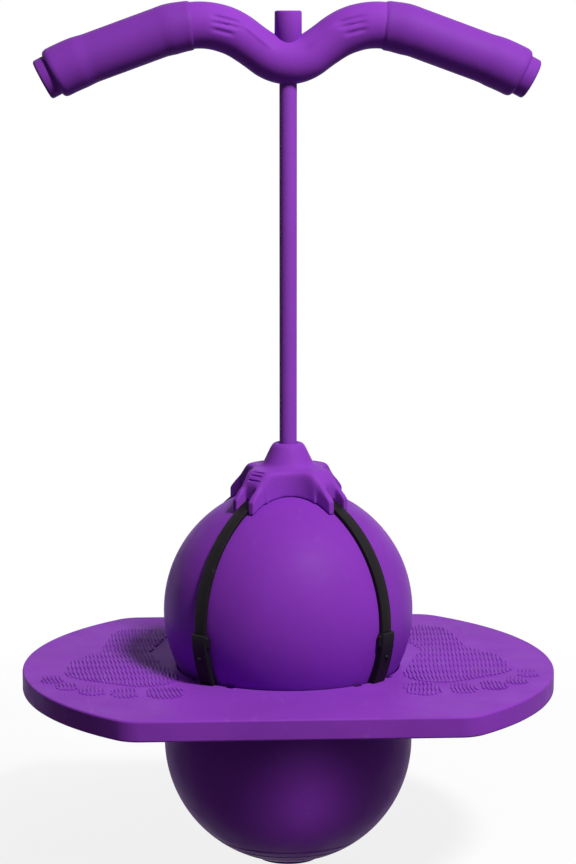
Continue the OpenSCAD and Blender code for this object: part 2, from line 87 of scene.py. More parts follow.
class HopperSizes(bpy.types.PropertyGroup):
    """Sizes of the dressed pieces"""

    lobe_radius: length("Lobe radius", "Radius of each inflated lobe", 0.0955, 0.08, 0.11)
    lower_height: length("Lower lobe height", "Height of the lower lobe's centre", 0.0945, 0.08, 0.11)
    upper_height: length("Upper lobe height", "Height of the upper lobe's centre", 0.1965, 0.17, 0.23)
    waist_radius: length("Waist radius", "Radius of the neck between the lobes", 0.08274, 0.07, 0.1)
    foot_radius: length("Foot radius", "Radius of the flat foot", 0.024, 0.015, 0.03)
    groove_depth: length("Groove depth", "Depth of the tread rings under the ball", 0.0011, 0, 0.002)
    bounce_travel: length("Bounce travel", "How far the deck sinks when pressed down", 0.035, 0.01, 0.05)
    deck_width: length("Deck width", "Width of the deck", 0.408, 0.34, 0.48)
    deck_depth: length("Deck depth", "Depth of the deck", 0.337, 0.3, 0.38)
    deck_edge: length("Deck edge", "Length of the straight front and back edges", 0.248, 0.2, 0.28)
    deck_thickness: length("Deck thickness", "Height of the deck's edge", 0.0155, 0.012, 0.022)
    deck_skin: length("Deck skin", "Thickness of the standing surface", 0.0032, 0.002, 0.004)
    deck_skirt: length("Deck skirt", "Thickness of the skirt round the edge", 0.003, 0.002, 0.005)
    deck_collar: length("Deck collar", "Thickness of the collar round the hole", 0.012, 0.01, 0.018)
    deck_rounding: length("Deck rounding", "Rounding of the deck's edges", 0.0017, 0.0005, 0.004)
    corner_rounding: length("Corner rounding", "Rounding of the deck's corners", 0.026, 0.01, 0.04)
    hole_radius: length("Hole radius", "Radius of the deck's hole", 0.0856, 0.08, 0.09)
    foot_length: length("Footprint length", "Length of a footprint", 0.234, 0.19, 0.24)
    foot_aside: length("Footprint aside", "Distance of a footprint from the middle", 0.130, 0.126, 0.134)
    foot_back: length("Footprint back", "Distance of a footprint behind the middle", 0.010, 0.004, 0.014)
    ridge_pitch: length("Ridge pitch", "Distance between tread ridges", 0.0031, 0.0025, 0.006)
    ridge_radius: length("Ridge radius", "Radius of a tread ridge", 0.00115, 0.0008, 0.003)
    ridge_height: length("Ridge height", "Height of a tread ridge above the deck", 0.0010, 0.0003, 0.0015)
    strap_width: length("Strap width", "Width of a strap", 0.0105, 0.008, 0.013)
    strap_thickness: length("Strap thickness", "Thickness of a strap", 0.003, 0.002, 0.004)
    rope_radius: length("Rope radius", "Radius of the elastic rope", 0.0066, 0.005, 0.007)
    bar_radius: length("Bar radius", "Radius of the handlebar", 0.0165, 0.015, 0.018)
    grip_radius: length("Grip radius", "Radius of the grip sleeves", 0.01865, 0.018, 0.0205)
    plug_radius: length("Plug radius", "Radius of the end plugs", 0.0157, 0.013, 0.016)
    cap_radius: length("Cap radius", "Radius of the rope's top cap", 0.01025, 0.009, 0.011)
    rib_count: IntProperty(
        name="Ribs", description="Number of ribs under the deck", default=12, min=8, max=24
    )


class HopperColours(bpy.types.PropertyGroup):
    """Colours of the finishes"""

    moulding: colour("Moulding", "Purple of the deck, crown and handlebar", (0.268, 0.047, 0.500))
    skin: colour("Ball skin", "Purple of the ball", (0.235, 0.036, 0.455))
    grip: colour("Grip", "Purple of the grip sleeves", (0.215, 0.038, 0.405))
    rope: colour("Rope", "Purple of the elastic rope", (0.280, 0.056, 0.510))
    strap: colour("Strap", "Black of the straps", (0.012, 0.010, 0.012))
    hook: colour("Hook", "Black of the hooks", (0.010, 0.008, 0.011))
    steel: colour("Steel", "Steel of the washers, the ferrule and the crimp ring", (0.60, 0.60, 0.62))
    rivet: colour("Rivet", "Blackened steel of the rivets", (0.020, 0.018, 0.021))
    floor: colour("Floor", "Grey that the floor throws back onto the object", (0.13, 0.13, 0.134))


def sizes():
    return bpy.context.scene.hopper_sizes


def colours():
    return bpy.context.scene.hopper_colours


def deck_levels():
    """Heights of the deck's top and bottom faces"""
    s = sizes()
    middle = (s.lower_height + s.upper_height) / 2
    return middle + s.deck_thickness / 2, middle - s.deck_thickness / 2


# Finishes

# Most values of a noise pattern lie between these
NOISE_LOW, NOISE_HIGH = 0.3, 0.7
# Sockets of a colour Mix node: factor, two colours and result
MIX_FACTOR, MIX_FIRST, MIX_SECOND, MIX_RESULT = 0, 6, 7, 2
WHITE = (1, 1, 1, 1)


def shade(tint, factor):
    return tuple(min(1.0, c * factor) for c in tint) + (1.0,)


def new_finish(name):
    finish = bpy.data.materials.new(name)
    finish.use_nodes = True
    nodes, links = finish.node_tree.nodes, finish.node_tree.links
    shader = nodes["Principled BSDF"]
    return finish, nodes, links, shader


def add_noise(nodes, links, place, scale, detail, stretch=(1, 1, 1)):
    """A noise pattern on the piece's own coordinates"""
    mapping = nodes.new("ShaderNodeMapping")
    mapping.inputs["Scale"].default_value = stretch
    links.new(place.outputs["Object"], mapping.inputs["Vector"])
    noise = nodes.new("ShaderNodeTexNoise")
    noise.inputs["Scale"].default_value = scale
    noise.inputs["Detail"].default_value = detail
    links.new(mapping.outputs["Vector"], noise.inputs["Vector"])
    return noise.outputs["Fac"]


def add_ramp(nodes, links, source, low_tint, high_tint):
    ramp = nodes.new("ShaderNodeValToRGB")
    ramp.color_ramp.elements[0].position = NOISE_LOW
    ramp.color_ramp.elements[0].color = low_tint
    ramp.color_ramp.elements[1].position = NOISE_HIGH
    ramp.color_ramp.elements[1].color = high_tint
    links.new(source, ramp.inputs["Fac"])
    return ramp.outputs["Color"]


def add_range(nodes, links, source, low, high, start=NOISE_LOW, end=NOISE_HIGH):
    """Values from low to high where the source goes from start to end"""
    spread = nodes.new("ShaderNodeMapRange")
    spread.inputs["From Min"].default_value = start
    spread.inputs["From Max"].default_value = end
    spread.inputs["To Min"].default_value = low
    spread.inputs["To Max"].default_value = high
    links.new(source, spread.inputs["Value"])
    return spread.outputs["Result"]


def add_bump(nodes, links, height, strength, distance, before=None):
    bump = nodes.new("ShaderNodeBump")
    bump.inputs["Strength"].default_value = strength
    bump.inputs["Distance"].default_value = distance
    links.new(height, bump.inputs["Height"])
    if before is not None:
        links.new(before, bump.inputs["Normal"])
    return bump.outputs["Normal"]


def mix_tint(nodes, links, factor, first, second):
    mix = nodes.new("ShaderNodeMix")
    mix.data_type = "RGBA"
    links.new(factor, mix.inputs[MIX_FACTOR])
    links.new(first, mix.inputs[MIX_FIRST])
    mix.inputs[MIX_SECOND].default_value = second
    return mix.outputs[MIX_RESULT]


def plastic(name, tint, rough, grain, depth, scuffs, specular, stretch=(1, 1, 1)):
    """Coloured plastic or rubber: soft clouds of colour, a fine moulded grain and a few scuffs"""
    finish, nodes, links, shader = new_finish(name)
    place = nodes.new("ShaderNodeTexCoord")
    cloud = add_noise(nodes, links, place, scale=16, detail=4)
    base = add_ramp(nodes, links, cloud, shade(tint, 0.93), shade(tint, 1.06))
    scratch = add_noise(nodes, links, place, scale=90, detail=6, stretch=(1, 0.16, 1))
    scuffed = add_range(nodes, links, scratch, low=0, high=scuffs, start=0.66, end=0.76)
    fading, faded = 0.35, 0.75
    worn = tuple(c + fading * (faded - c) for c in tint) + (1.0,)
    base = mix_tint(nodes, links, scuffed, base, worn)
    links.new(base, shader.inputs["Base Color"])
    rub = add_noise(nodes, links, place, scale=45, detail=5)
    spread = 0.05
    links.new(add_range(nodes, links, rub, rough - spread, rough + spread), shader.inputs["Roughness"])
    fine = add_noise(nodes, links, place, grain, detail=3, stretch=stretch)
    soft = add_noise(nodes, links, place, scale=55, detail=2)
    wavy = add_bump(nodes, links, soft, strength=0.12, distance=0.0012)
    grainy = add_bump(nodes, links, fine, strength=depth, distance=0.0004, before=wavy)
    links.new(grainy, shader.inputs["Normal"])
    shader.inputs["Specular IOR Level"].default_value = specular
    return finish


def steel(name, tint):
    """Steel with fine turning marks"""
    finish, nodes, links, shader = new_finish(name)
    place = nodes.new("ShaderNodeTexCoord")
    turned = add_noise(nodes, links, place, scale=900, detail=4, stretch=(1, 1, 0.08))
    base = add_ramp(nodes, links, turned, shade(tint, 0.8), shade(tint, 1.05))
    links.new(base, shader.inputs["Base Color"])
    links.new(add_range(nodes, links, turned, low=0.2, high=0.4), shader.inputs["Roughness"])
    links.new(add_bump(nodes, links, turned, strength=0.1, distance=0.0002), shader.inputs["Normal"])
    shader.inputs["Metallic"].default_value = 1.0
    return finish


# Plastics and rubbers: tint, roughness, grain scale and depth, scuffs, shine, and any stretch of the grain
PLASTICS = {
    "moulded_plastic": ("moulding", 0.50, 1100, 0.16, 0.10, 0.03),
    "ball_skin": ("skin", 0.50, 700, 0.12, 0.07, 0.07),
    "grip_rubber": ("grip", 0.58, 900, 0.22, 0.06, 0.07),
    "rope_elastic": ("rope", 0.58, 1500, 0.35, 0.05, 0.10, (1, 1, 0.15)),
    "strap_rubber": ("strap", 0.50, 1300, 0.25, 0.05, 0.07),
    "hook_plastic": ("hook", 0.40, 1300, 0.15, 0.05, 0.12),
}


def finishes(slot):
    """The finish of a material slot, made on first use"""
    name = slot + "_finish"
    found = bpy.data.materials.get(name)
    if found:
        return found
    c = colours()
    if slot in PLASTICS:
        tint, *look = PLASTICS[slot]
        return plastic(name, getattr(c, tint), *look)
    return steel(name, c.rivet if slot == "blackened_steel" else c.steel)


# Shared ways of making a piece


def placed(matrix, bm):
    bmesh.ops.transform(bm, matrix=matrix, verts=bm.verts)
    return bm


def lathe(profile, steps):
    """Turns a half section of (radius, height) points round the upright axis"""
    bm = bmesh.new()
    corners = [bm.verts.new((r, 0, z)) for r, z in profile]
    edges = [bm.edges.new(pair) for pair in zip(corners, corners[1:])]
    bmesh.ops.spin(
        bm, geom=corners + edges, cent=(0, 0, 0), axis=UP, angle=math.tau, steps=steps, use_merge=True
    )
    bmesh.ops.remove_doubles(bm, verts=bm.verts, dist=TINY)
    return bm


def box(low, high, matrix):
    """A block between two corners, turned into its place"""
    low, high = Vector(low), Vector(high)
    bm = bmesh.new()
    bmesh.ops.create_cube(bm, size=1)
    bmesh.ops.scale(bm, vec=high - low, verts=bm.verts)
    bmesh.ops.translate(bm, vec=(low + high) / 2, verts=bm.verts)
    return placed(matrix, bm)


def to_mesh(name, bm):
    """A mesh from a shape, which is used up"""
    mesh = bpy.data.meshes.new(name)
    bm.to_mesh(mesh)
    bm.free()
    return mesh


def add_object(name, data):
    thing = bpy.data.objects.new(name, data)
    bpy.context.scene.collection.objects.link(thing)
    return thing


def gather(shapes):
    """Puts several shapes into one"""
    whole = bmesh.new()
    for shape in shapes:
        mesh = to_mesh("shape", shape)
        whole.from_mesh(mesh)
        bpy.data.meshes.remove(mesh)
    return whole


def smooth_faces(mesh, sharp):
    """Shades a mesh smooth, apart from edges sharper than an angle in degrees"""
    for face in mesh.polygons:
        face.use_smooth = True
    mesh.set_sharp_from_angle(angle=math.radians(sharp))


def dress(name, mesh, slot, sharp):
    smooth_faces(mesh, sharp)
    piece = add_object(name, mesh)
    mesh.materials.clear()
    mesh.materials.append(finishes(slot))
    return piece


def make_piece(name, bm, slot, sharp):
    """Closes a shape, turns its faces outwards and makes it an object with its finish"""
    bmesh.ops.remove_doubles(bm, verts=bm.verts, dist=TINY)
    bmesh.ops.recalc_face_normals(bm, faces=bm.faces)
    return dress(name, to_mesh(name, bm), slot, sharp)


def settle(piece):
    """Makes a piece's modifiers part of its mesh"""
    graph = bpy.context.evaluated_depsgraph_get()
    done = bpy.data.meshes.new_from_object(piece.evaluated_get(graph))
    before = piece.data
    piece.modifiers.clear()
    piece.data = done
    bpy.data.meshes.remove(before)
    return piece


def cut(piece, cutter):
    """Takes a shape out of a piece"""
    bmesh.ops.recalc_face_normals(cutter, faces=cutter.faces)
    mesh = to_mesh("cutter", cutter)
    tool = add_object("cutter", mesh)
    taken = piece.modifiers.new("cut", "BOOLEAN")
    taken.operation = "DIFFERENCE"
    taken.solver = "EXACT"
    taken.use_self = True
    taken.object = tool
    settle(piece)
    bpy.data.objects.remove(tool)
    bpy.data.meshes.remove(mesh)


def softened(node, name, slot, voxel, rounds):
    """A copy of a construction piece with its edges rounded as a moulding's are"""
    bm = bmesh.new()
    bm.from_mesh(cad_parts[node].data)
    piece = make_piece(name, bm, slot, sharp=180)
    remesh = piece.modifiers.new("remesh", "REMESH")
    remesh.mode = "VOXEL"
    remesh.voxel_size = voxel
    remesh.use_smooth_shade = True
    smooth = piece.modifiers.new("smooth", "SMOOTH")
    smooth.factor = 0.5
    smooth.iterations = rounds
    return settle(piece)


def eased(points, at):
    """Smooth value between (place, value) points"""
    if at <= points[0][0]:
        return points[0][1]
    for (a, low), (b, high) in zip(points, points[1:]):
        if at <= b:
            t = (at - a) / (b - a)
            return low + (high - low) * t * t * (3 - 2 * t)
    return points[-1][1]


def turn_by(degrees, axis):
    return Matrix.Rotation(math.radians(degrees), 4, axis)


def on_lobe(turn, angle):
    """Place on the upper lobe at an angle from its top, Z pointing outwards"""
    return Matrix.Translation((0, 0, sizes().upper_height)) @ turn_by(turn, "Z") @ turn_by(angle, "Y")


def arc(centre_z, radius, low, high, step=2.0):
    """Points of a lobe's half section between two angles from its bottom, in degrees"""
    count = max(2, round((high - low) / step))
    angles = [math.radians(low + (high - low) * i / count) for i in range(count + 1)]
    return [(radius * math.sin(a), centre_z - radius * math.cos(a)) for a in angles]


def heading_of(angle):
    return Vector((math.cos(angle), 0, math.sin(angle)))


def walk(at, angle, path):
    """Place and heading at the end of a path"""
    for bend, turn in path:
        if turn:
            turned = math.radians(turn)
            side = math.copysign(bend, turn)
            centre = at + side * heading_of(angle + math.pi / 2)
            angle += turned
            at = centre - side * heading_of(angle + math.pi / 2)
        else:
            at = at + bend * heading_of(angle)
    return at, angle


def run_bar(at, angle, path, radius_at, pitch=0.0013, segments=96):
    """Runs a round bar along a path, with a radius for each length along it"""
    bm = bmesh.new()
    turned = Matrix.Translation(at) @ Matrix.Rotation(math.pi / 2 - angle, 4, "Y")
    radius = radius_at(0)
    bmesh.ops.create_circle(bm, cap_ends=True, segments=segments, radius=radius, matrix=turned)
    last = bm.verts[:] + bm.edges[:] + bm.faces[:]
    gone = 0.0
    for bend, turn in path:
        span = bend * abs(math.radians(turn)) if turn else bend
        count = max(1, round(span / pitch))
        for _ in range(count):
            part = (bend, turn / count) if turn else (bend / count, 0)
            after, after_angle = walk(at, angle, [part])
            if turn:
                centre = at + math.copysign(bend, turn) * heading_of(angle + math.pi / 2)
                made = bmesh.ops.spin(
                    bm, geom=last, cent=centre, axis=(0, -1, 0), angle=math.radians(part[1]), steps=1
                )
            else:
                made = bmesh.ops.spin(bm, geom=last, axis=UP, dvec=after - at, angle=0, steps=1)
            last = made["geom_last"]
            at, angle = after, after_angle
            gone += span / count
            now = radius_at(gone)
            ring = [g for g in last if isinstance(g, bmesh.types.BMVert)]
            factor = now / radius
            bmesh.ops.scale(bm, vec=(factor,) * 3, space=Matrix.Translation(-at), verts=ring)
            radius = now
    return bm


def mirrored(bm):
    """The same shape on the other side of the middle"""
    twin = bm.copy()
    bmesh.ops.scale(twin, vec=(-1, 1, 1), verts=twin.verts)
    bmesh.ops.reverse_faces(twin, faces=twin.faces)
    return twin


# Ball and valve plug

# Rounding of the flat foot's edge
FOOT_ROUNDING = 0.0008
# Radii of the tread rings under the ball, and half a ring's width
TREAD_RINGS = (0.044, 0.052, 0.060)
TREAD_HALF_WIDTH = 0.0012
# Valve plug: its half section, as radius and height over the ball's skin, and its tilt
VALVE_SECTION = (
    (0, -0.013), (0.0034, -0.013), (0.0039, -0.0125), (0.0039, -0.0018), (0.007, -0.0018), (0.007, -0.0002),
    (0.0068, 0.0001), (0.0063, 0.0003), (0.003, 0.0003), (0.0026, 0.0001), (0.002, -0.0006),
    (0.0008, -0.0008), (0, -0.0008),
)
VALVE_TILT = -120


def give_height():
    """Height of the hooks' feet: the ball gives way below it and goes with the deck above it"""
    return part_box("hook_front_left")[0][2]


class HOPPER_OT_ball(bpy.types.Operator):
    """Turns the two inflated lobes; the lower one gives way when the deck is pressed down"""

    bl_idname = "hopper.ball"
    bl_label = "Ball"

    def execute(self, context):
        s = sizes()
        r, waist = s.lobe_radius, s.waist_radius
        middle = (s.lower_height + s.upper_height) / 2
        open_angle = 180 - math.degrees(math.asin(waist / r))
        profile = [(0, 0), (s.foot_radius - FOOT_ROUNDING, 0), (s.foot_radius, FOOT_ROUNDING)]
        low = math.degrees(math.asin(s.foot_radius / r))
        half = math.degrees(TREAD_HALF_WIDTH / r)
        for ring in TREAD_RINGS:
            at = math.degrees(math.asin(ring / r))
            profile += arc(s.lower_height, r, low, at - half)
            profile += arc(s.lower_height, r - s.groove_depth, at - half / 3, at + half / 3)
            low = at + half
        give = give_height()
        give_angle = math.degrees(math.acos((s.lower_height - give) / r))
        profile += arc(s.lower_height, r, low, give_angle) + [(0, give)]
        lower = make_piece("ball_lower_lobe", lathe(profile, steps=144), "ball_skin", sharp=50)
        profile = [(0, give)] + arc(s.lower_height, r, give_angle, open_angle) + [(waist, middle)]
        profile += arc(s.upper_height, r, 180 - open_angle, 180)
        upper = make_piece("ball_upper_lobe", lathe(profile, steps=144), "ball_skin", sharp=50)
        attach(lower, "ball")
        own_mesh(lower)
        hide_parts("ball")
        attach(upper, "deck")
        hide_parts("ball")
        return {"FINISHED"}


class HOPPER_OT_valve_plug(bpy.types.Operator):
    """Turns the plug of the inflation valve at the back of the lower lobe"""

    bl_idname = "hopper.valve_plug"
    bl_label = "Valve plug"

    def execute(self, context):
        s = sizes()
        shape = lathe([(radius, s.lobe_radius + z) for radius, z in VALVE_SECTION], steps=48)
        placed(Matrix.Translation((0, 0, s.lower_height)) @ turn_by(VALVE_TILT, "X"), shape)
        plug = make_piece("valve_plug_stopper", shape, "ball_skin", sharp=40)
        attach(plug, "valve_plug")
        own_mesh(plug)
        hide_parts("valve_plug")
        return {"FINISHED"}


# Deck

# Half the thickness of a rib, and the radius of the round rib
RIB_HALF = 0.0012
RIB_RING = 0.132
# Rounding of the collar's lower edge, and its overlap with the hole, which is cut later
COLLAR_ROUNDING = 0.0006
COLLAR_INSIDE = 0.004
# Rounding of the hole's upper edge, as distance out from the hole and drop from the deck's top
HOLE_EDGE = ((0, 0.0012), (0.0004, 0.0004), (0.0012, 0))
# Cuts at each strap: turn from it, half width and depth past the hole
HOOK_CUTS = ((0, 0.0056, 0.0037), (-12, 0.0035, 0.004), (12, 0.0035, 0.004))
# Where these cuts start, and how far all cuts run past the deck
CUT_START = 0.05
OVERRUN = 0.03


def deck_ends():
    """Radius of the arcs round the deck's ends and the place of their centres"""
    s = sizes()
    half = s.deck_depth / 2
    bulge = (s.deck_width - s.deck_edge) / 2
    radius = (bulge * bulge + half * half) / (2 * bulge)
    return radius, s.deck_width / 2 - radius


def round_points(centre, radius, start, end, count):
    """Points along an arc in the deck's plane"""
    angles = [start + (end - start) * i / count for i in range(count + 1)]
    return [(centre[0] + radius * math.cos(a), centre[1] + radius * math.sin(a)) for a in angles]


def deck_face(z):
    """The deck's outline with its corners rounded, as one flat face"""
    s = sizes()
    end_radius, end_x = deck_ends()
    soft = s.corner_rounding
    corner_y = s.deck_depth / 2 - soft
    corner_x = end_x + math.sqrt((end_radius - soft) ** 2 - corner_y ** 2)
    meet = math.atan2(corner_y, corner_x - end_x)
    quarter = round_points((end_x, 0), end_radius, 0, meet, count=44)[:-1]
    quarter += round_points((corner_x, corner_y), soft, meet, math.pi / 2, count=10)
    half = quarter + [(-x, y) for x, y in reversed(quarter)]
    outline = half + [(-x, -y) for x, y in half[1:-1]]
    bm = bmesh.new()
    bm.faces.new([bm.verts.new((x, y, z)) for x, y in outline])
    return bm


def deck_reach(turn):
    """Distance from the middle to the deck's edge"""
    half = sizes().deck_depth / 2
    end_radius, centre = deck_ends()
    x, y = abs(math.cos(turn)), abs(math.sin(turn))
    along = x * centre + math.sqrt((x * centre) ** 2 - centre ** 2 + end_radius ** 2)
    return min(along, half / y) if y > TINY else along


def raise_faces(bm, faces, height):
    """Pulls faces up or down, with walls along their edges"""
    made = bmesh.ops.extrude_face_region(bm, geom=faces)["geom"]
    moved = [g for g in made if isinstance(g, bmesh.types.BMVert)]
    bmesh.ops.translate(bm, vec=(0, 0, height), verts=moved)


def deck_slab(top, bottom):
    """The deck's standing surface and its skirt, with rounded edges"""
    s = sizes()
    slab = deck_face(top)
    raise_faces(slab, slab.faces[:], bottom - top)
    bmesh.ops.recalc_face_normals(slab, faces=slab.faces)
    facing_down = -0.5
    under = [f for f in slab.faces if f.normal.z < facing_down]
    bmesh.ops.inset_region(
        slab, faces=under, thickness=s.deck_skirt, use_even_offset=True, use_boundary=True
    )
    raise_faces(slab, under, s.deck_thickness - s.deck_skin)
    bmesh.ops.delete(slab, geom=under, context="FACES_ONLY")
    bmesh.ops.recalc_face_normals(slab, faces=slab.faces)
    least_angle = 1.2
    rim = [
        e for e in slab.edges
        if len(e.link_faces) == 2 and e.calc_face_angle(0) > least_angle
        and all(abs(v.co.z - e.verts[0].co.z) < TINY for v in e.verts)
        and (e.verts[0].co.z > top - TINY or e.verts[0].co.z < bottom + TINY)
    ]
    bmesh.ops.bevel(
        slab, geom=rim, offset=s.deck_rounding, offset_type="OFFSET", segments=4, profile=0.5,
        affect="EDGES", material=-1, clamp_overlap=True,
    )
    return slab


def deck_ribs(top, bottom):
    """The collar round the hole and the ribs under the deck"""
    s = sizes()
    inner, outer = s.hole_radius - COLLAR_INSIDE, s.hole_radius + s.deck_collar
    roof = top - s.deck_skin / 2
    shapes = [lathe([
        (inner, bottom), (outer - COLLAR_ROUNDING, bottom), (outer, bottom + COLLAR_ROUNDING), (outer, roof),
        (inner, roof), (inner, bottom),
    ], steps=144)]
    low = bottom + s.deck_skin / 2
    for i in range(s.rib_count):
        turn = math.tau * i / s.rib_count
        reach = deck_reach(turn) - s.deck_skirt / 2
        facing = Matrix.Rotation(turn, 4, "Z")
        shapes.append(box((s.hole_radius, -RIB_HALF, low), (reach, RIB_HALF, roof), facing))
    near, far = RIB_RING - RIB_HALF, RIB_RING + RIB_HALF
    shapes.append(lathe([(near, low), (far, low), (far, roof), (near, roof), (near, low)], steps=144))
    return shapes


def deck_cutters(top, bottom):
    """The hole for the ball, and the slots and notches at the hooks"""
    hole = sizes().hole_radius
    low, high = bottom - OVERRUN, top + OVERRUN
    profile = [(0, low), (hole, low)]
    profile += [(hole + out, top - down) for out, down in HOLE_EDGE]
    profile += [(hole + HOLE_EDGE[-1][0], high), (0, high)]
    cutters = [lathe(profile, steps=144)]
    for turn in STRAP_TURNS.values():
        for aside, half, depth in HOOK_CUTS:
            facing = turn_by(turn + aside, "Z")
            cutters.append(box((CUT_START, -half, low), (hole + depth, half, high), facing))
    return cutters


class HOPPER_OT_deck(bpy.types.Operator):
    """Shapes the standing deck with its skirt, collar, ribs, hook slots and notches"""

    bl_idname = "hopper.deck"
    bl_label = "Deck"

    def execute(self, context):
        top, bottom = deck_levels()
        shapes = [deck_slab(top, bottom)] + deck_ribs(top, bottom)
        deck = make_piece("deck_board", gather(shapes), "moulded_plastic", sharp=35)
        cut(deck, gather(deck_cutters(top, bottom)))
        smooth_faces(deck.data, sharp=35)
        even = deck.modifiers.new("even", "WEIGHTED_NORMAL")
        even.keep_sharp = True
        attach(deck, "deck")
        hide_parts("deck")
        return {"FINISHED"}


# Footprints

# Circles of a footprint: x, y and radius as shares of its length, x outwards and y backwards
SOLE_SHARES = (
    (-0.068, 0.393, 0.098), (-0.017, 0.128, 0.083), (-0.043, -0.043, 0.103), (-0.077, -0.222, 0.115),
    (0.064, -0.137, 0.111), (0.064, -0.026, 0.103), (-0.017, 0.128, 0.083),
)
TOE_SHARES = (
    (-0.148, -0.414, 0.060), (-0.021, -0.412, 0.047), (0.080, -0.379, 0.046),
    (0.163, -0.319, 0.038), (0.212, -0.226, 0.038),
)
# Half of a toe's straight stretch, as a share of its radius
TOE_STRETCH_SHARE = 0.35
# Middle line of a footprint, as (y, x), and how far its ridges fan out, as (y, factor), in the same shares
SPINE_SHARES = ((-0.50, -0.030), (0.50, 0.026))
FAN_SHARES = ((-0.50, 1.02), (-0.36, 0.93), (-0.08, 1.0), (0.50, 0.88))
# Reach of the ridges lengthwise and sideways, and their distance in from the outline, in the same shares
RIDGE_REACH_SHARE = 0.52
RIDGE_SIDE_SHARE = 0.35
RIDGE_INSET_SHARE = 0.002
# Sway of a ridge, the length of one wave, and the steps along a ridge
RIDGE_SWAY = 0.0004
RIDGE_WAVE = 0.018
RIDGE_STEPS = 260


def part_of_foot(x, y):
    """Name of the sole or toe where a point lies, in shares of the footprint's length, or None"""
    for a, b in zip(SOLE_SHARES, SOLE_SHARES[1:]):
        ax, ay, bx, by = a[0], a[1], b[0], b[1]
        run = (bx - ax) ** 2 + (by - ay) ** 2
        t = min(1, max(0, ((x - ax) * (bx - ax) + (y - ay) * (by - ay)) / run))
        radius = a[2] + t * (b[2] - a[2]) - RIDGE_INSET_SHARE
        if math.hypot(x - ax - t * (bx - ax), y - ay - t * (by - ay)) < radius:
            return "sole"
    for i, (tx, ty, radius) in enumerate(TOE_SHARES):
        past = max(0.0, abs(y - ty) - TOE_STRETCH_SHARE * radius)
        if math.hypot(x - tx, past) < radius - RIDGE_INSET_SHARE:
            return "toe" + str(i)
    return None


def ridge_runs(side, z):
    """Points along each ridge of a footprint on one side of the deck"""
    s = sizes()
    runs = []
    lanes = math.ceil(RIDGE_SIDE_SHARE * s.foot_length / s.ridge_pitch)
    for lane in range(-lanes, lanes + 1):
        run, part = [], None
        for i in range(RIDGE_STEPS + 1):
            y = -RIDGE_REACH_SHARE + 2 * RIDGE_REACH_SHARE * i / RIDGE_STEPS
            sway = RIDGE_SWAY * math.sin(math.tau * y * s.foot_length / RIDGE_WAVE)
            fan = eased(FAN_SHARES, y)
            x = eased(SPINE_SHARES, y) + (lane * s.ridge_pitch * fan + sway) / s.foot_length
            now = part_of_foot(x, y)
            if now != part:
                runs.append(run)
                run, part = [], now
            if now:
                run.append((side * (s.foot_aside + x * s.foot_length), s.foot_back + y * s.foot_length, z))
        runs.append(run)
    return [run for run in runs if len(run) > 2]


class HOPPER_OT_footprints(bpy.types.Operator):
    """Raises the wavy tread of a bare foot on each side of the deck"""

    bl_idname = "hopper.footprints"
    bl_label = "Footprints"

    def execute(self, context):
        s = sizes()
        top, _ = deck_levels()
        sunk = s.ridge_radius - s.ridge_height
        for side, name in ((-1, "left_footprint_tread"), (1, "right_footprint_tread")):
            ridges = bpy.data.curves.new(name, "CURVE")
            ridges.dimensions = "3D"
            ridges.bevel_depth = s.ridge_radius
            ridges.bevel_resolution = 2
            ridges.use_fill_caps = True
            for run in ridge_runs(side, top - sunk):
                spline = ridges.splines.new("POLY")
                spline.points.add(len(run) - 1)
                for point, co in zip(spline.points, run):
                    point.co = (*co, 1)
            line = add_object("ridges", ridges)
            graph = bpy.context.evaluated_depsgraph_get()
            mesh = bpy.data.meshes.new_from_object(line.evaluated_get(graph))
            bpy.data.objects.remove(line)
            bpy.data.curves.remove(ridges)
            tread = dress(name, mesh, "moulded_plastic", sharp=60)
            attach(tread, "deck")
            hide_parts("deck")
        return {"FINISHED"}


# Crown

# How much the crown's shoulders are smoothed, by distance from the middle and by height
SHOULDER_BY_RADIUS = ((0.039, 1), (0.050, 0.08))
SHOULDER_BY_HEIGHT = ((0.288, 0), (0.297, 1))
# Legs with grooves across them, the grooves' distances from the middle, and how far they lie aside
GROOVED_LEGS = ("front_left", "back_right")
GROOVE_PLACES = (0.0345, 0.0372, 0.0399)
GROOVE_ASIDE = 0.001
# Groove cutter: its half section, as radius and length, and its height over the leg
GROOVE_SECTION = (
    (0, -0.0066), (0.0007, -0.0062), (0.0011, -0.0050), (0.0011, 0.0050), (0.0007, 0.0062), (0, 0.0066),
)
GROOVE_LIFT = 0.0002


def height_near(mesh, spot, reach=0.0009, facing_up=0.2):
    """Mean height of a mesh's upper side round a spot"""
    near = [v.co.z for v in mesh.vertices if (v.co - spot).xy.length < reach and v.normal.z > facing_up]
    return sum(near) / len(near)


